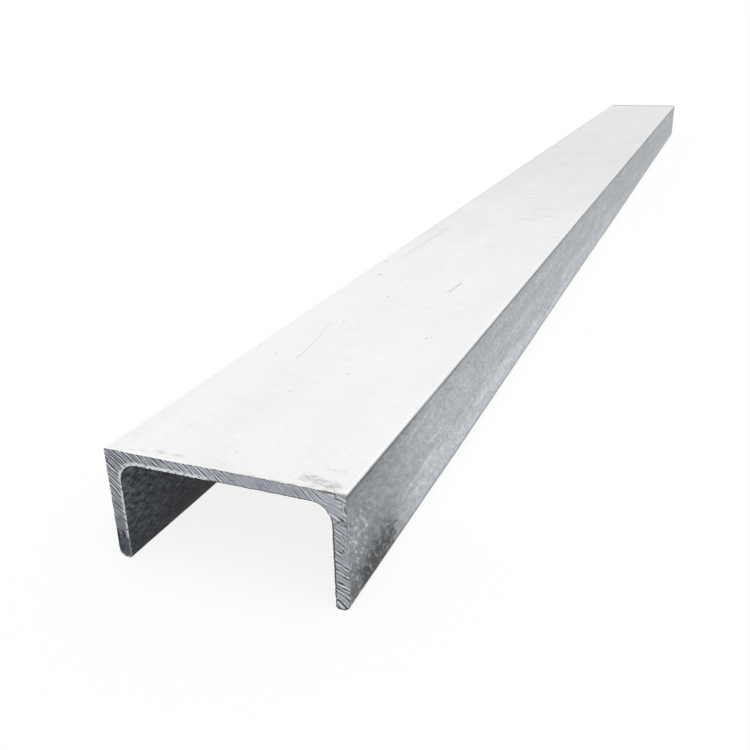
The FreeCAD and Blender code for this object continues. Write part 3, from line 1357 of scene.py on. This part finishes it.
    def _tone(self, spot: CutSpot, stained: Value, burr: Value) -> Value:
        """Tone between the furrows' painted shade and the crests' painted highlight.

        Args:
            spot: the shaded point.
            stained: how stained it is.
            burr: how much of the rubbed burr is there.

        Returns:
            The tone.
        """
        x, z, left, ridge, chips = spot.x, spot.z, spot.left, spot.ridge, spot.chips
        contrast = x.rise(*self.stroke_change, *self.stroke_levels)
        contrast = contrast + self.toe_strokes * z.fall(*self.toe_reach) + self.left_strokes * left
        contrast = contrast - self.smooth_strokes * (z.fall(*self.smooth_reach) * left)
        # The ridge sways the tone: painted highlight on the crests, painted shade in the furrows.
        tone = self.tone + contrast * ridge + self.grain_share * spot.grain + self.cloud_share * spot.clouds
        tone = tone + x.rise(*self.web_left, *self.web_change) * x.fall(*self.web_middle)
        tone = tone + self.corner_gain * (x.rise(*self.corner_across) * z.rise(*self.corner_up))
        # Painted glints on the crests and painted shade in the furrows' pits.
        glints = spot.glints
        tone = tone + self.glint_gain * glints.rise(*self.glint_part) * ridge.rise(*self.glint_ridge)
        tone = tone - self.pit_shade_loss * glints.fall(*self.pit_shade_part) * ridge.fall(*self.pit_shade_ridge)
        smooth = z.fall(*self.smooth_top) * left
        tone = tone * (1.0 - self.smooth_loss * smooth) * (1.0 - self.stained_loss * stained)
        specks = chips.fall(*self.stain_specks) * stained
        specks = specks + chips.fall(*self.rim_specks) * x.rise(*self.corner_rim)
        tone = tone * (1.0 - self.speck_loss * specks.at_most(1.0))
        tone = tone + self.burr_gain * burr * (1.0 - stained)
        tone = tone - self.stained_rim_loss * (spot.from_outer.fall(*self.stained_rim) * stained)
        broken = spot.from_outer.fall(*self.broken_width) * chips.rise(*self.broken_part)
        tone = tone - self.broken_loss * (broken * z.rise(*self.broken_up))
        return tone - self.nick.shade * self.nick.reach(x, z).fall(*self.nick_edge)

    def _colour(self, graph: Graph, spot: CutSpot, tone: Value, stained: Value, burr: Value) -> Value:
        """Colour of the cut, before any rust.

        Args:
            graph: the material's graph.
            spot: the shaded point.
            tone: its tone.
            stained: how stained it is.
            burr: how much of the rubbed burr is there.

        Returns:
            The colour.
        """
        colour = graph.mix(tone.at_least(0.0).at_most(1.0), self.furrow_shade, self.crest_highlight)
        colour = graph.mix(stained * self.stain_cover, colour, self.stain_colour)
        cover = spot.z.rise(*self.burr_covering, *self.burr_cover) - self.stained_burr_loss * stained
        colour = graph.mix(burr * cover, colour, self.burr_colour)
        # A dark line along the inner rim, past the middle.
        line_width = spot.z.fall(*self.inner_line_widening) * self.inner_line_width + self.inner_line_width
        scale = (spot.from_inner / line_width).fall(*self.inner_line_edge) * (1.0 - spot.x.fall(*self.burr_end))
        colour = graph.mix(scale * self.inner_line_cover, colour, self.inner_line_colour)
        # Small notches by the left toe, their shade painted nearly black.
        for notch in self.notches:
            black = notch.shade * notch.reach(spot.x, spot.z).fall(*self.notch_edge) * spot.front
            colour = graph.mix(black, colour, self.notch_shade_colour)
        return colour

    def _rust(self, spot: CutSpot) -> Value:
        """How much rust lies on the cut: along the outer rim, and in spots on the front end.

        Args:
            spot: the shaded point.

        Returns:
            The share of rust, 0 to 1.
        """
        rusty = spot.chips.rise(*self.rust_part) * spot.from_outer.fall(*self.rust_width) * self.rim_rust
        patchy = spot.chips.rise(*self.spot_part) * spot.front
        for mark in self.rust_spots:
            rusty = rusty.at_least(mark.shade * mark.reach(spot.x, spot.z).fall(*self.spot_edge) * patchy)
        return rusty


# ---------------------------------------------------------------------------------------------------------
# Studio


@dataclass(frozen=True)
class Studio:
    """A plain pale floor under a bright, even sky and one broad lamp overhead."""

    sky: float = 0.52
    lamp: float = 0.50
    lamp_spread: float = math.radians(60.0)
    lamp_from: Triple = (0.30, -0.16, 1.0)
    floor_span: float = 120.0
    floor_bounce: float = 0.30
    floor_white: float = 0.97
    floor_glow: float = 0.87

    def build(self) -> bpy.types.Object:
        """Makes the sky, the lamp and the floor.

        Returns:
            The floor.
        """
        self._sky()
        light = bpy.data.lights.new("overhead_lamp", "SUN")
        towards = Vector(self.lamp_from).normalized()
        # A sun of strength pi lights a white surface that faces it to white.
        light.energy = math.pi * self.lamp / towards.z
        light.angle = self.lamp_spread
        lamp = bpy.data.objects.new("overhead_lamp", light)
        lamp.rotation_euler = towards.to_track_quat("Z", "Y").to_euler()
        bpy.context.scene.collection.objects.link(lamp)
        return self._floor()

    @staticmethod
    def _seen(graph: Graph) -> Value:
        """Tells the rays that show the surroundings: straight to the camera, mirrored or through glass.

        Args:
            graph: the material's or the world's graph.

        Returns:
            1 for such a ray and 0 for any other.
        """
        path = graph.node("ShaderNodeLightPath", {}, {})
        camera, glossy, through = (
            Value(graph, path.outputs[name])
            for name in ("Is Camera Ray", "Is Glossy Ray", "Is Transmission Ray")
        )
        return camera.at_least(glossy).at_least(through)

    def _sky(self) -> None:
        """Lights evenly from all round, and shows white behind everything."""
        world = bpy.data.worlds.new("studio_sky")
        world.use_nodes = True
        bpy.context.scene.world = world
        graph = Graph(world.node_tree)
        strength = self._seen(graph) * (1.0 - self.sky) + self.sky
        sockets = {"Color": (1.0, 1.0, 1.0, 1.0), "Strength": strength}
        shader = graph.value("ShaderNodeBackground", {}, sockets)
        graph.node("ShaderNodeOutputWorld", {}, {"Surface": shader})

    def _floor(self) -> bpy.types.Object:
        """Lays the floor: white to look at, with a soft shadow, and grey in the light that it throws back up.

        Returns:
            The floor.
        """
        material, graph = new_material("floor_paint")
        seen = self._seen(graph)
        white, grey = (self.floor_white,) * 3, (self.floor_bounce,) * 3
        matt = graph.value("ShaderNodeBsdfDiffuse", {}, {"Color": graph.mix(seen, grey, white)})
        glow = graph.value("ShaderNodeEmission", {}, {"Color": (1.0, 1.0, 1.0, 1.0), "Strength": 1.0})
        shader = graph.value("ShaderNodeMixShader", {}, {0: seen * self.floor_glow, 1: matt, 2: glow})
        graph.node("ShaderNodeOutputMaterial", {}, {"Surface": shader})
        half, level = self.floor_span / 2.0, CAD_BOX[0].z
        corners = [(-half, -half, level), (half, -half, level), (half, half, level), (-half, half, level)]
        mesh = bpy.data.meshes.new("floor")
        mesh.from_pydata(corners, [], [(0, 1, 2, 3)])
        mesh.materials.append(material)
        floor = bpy.data.objects.new("floor", mesh)
        bpy.context.scene.collection.objects.link(floor)
        return floor


@dataclass(frozen=True)
class Viewpoint:
    """The camera: close to the front end of the bar, to its right and a little above it."""

    azimuth: float = math.radians(22.90)
    elevation: float = math.radians(22.69)
    roll: float = math.radians(-1.46)
    focal_length: float = 41.07
    sensor_width: float = 36.0
    clip: tuple[float, float] = (0.01, 200.0)
    # From the front left corner of the web's back, in depths of the section: right, towards the front, up.
    stand: tuple[float, float, float] = (2.066, 2.248, 1.472)

    def build(self, section: Section) -> bpy.types.Object:
        """Makes the camera.

        Args:
            section: the bar's section.

        Returns:
            The camera.
        """
        low, high = CAD_BOX
        corner = Vector((low.x, low.y, high.z))
        right, front, up = self.stand
        data = bpy.data.cameras.new("camera")
        data.sensor_width = self.sensor_width
        data.lens = self.focal_length
        data.clip_start, data.clip_end = self.clip
        camera = bpy.data.objects.new("camera", data)
        camera.location = corner + Vector((right, -front, up)) * section.depth
        tilt = Matrix.Rotation(math.pi / 2.0 - self.elevation, 3, "X")
        turn = Matrix.Rotation(self.azimuth, 3, "Z") @ tilt @ Matrix.Rotation(self.roll, 3, "Z")
        camera.rotation_euler = turn.to_euler()
        bpy.context.scene.collection.objects.link(camera)
        bpy.context.scene.camera = camera
        return camera


# ---------------------------------------------------------------------------------------------------------
# Assembly


def mount_height(name: str) -> float:
    """Height of one of the record's mounts."""
    return next(mount["pos_m"][2] for mount in frame["record"]["mounts"] if mount["name"] == name)


def main() -> None:
    """Builds the camera, the studio and the bar, in that order, and reports each piece."""
    logging.basicConfig(level=logging.INFO, format="%(name)s: %(message)s")
    low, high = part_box("channel")
    size = high - low
    web = mount_height("web_back") - mount_height("web_inside")
    section = Section(depth=size.x, height=size.z, web=web)

    bpy.context.scene.view_settings.view_transform = "Standard"
    Viewpoint().build(section)
    Studio().build()
    log.info("camera, sky, lamp and floor are in place")

    finishes = [ZincFinish(section, size.y).material(), SawnFinish(section).material()]
    bar = BarSkin(section, size.y).build("galvanised_channel", finishes)
    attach(bar, "root")
    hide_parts("channel")
    bar.data.calc_loop_triangles()
    log.info("%s: %d triangles", bar.name, len(bar.data.loop_triangles))


if __name__ == "__main__":
    main()
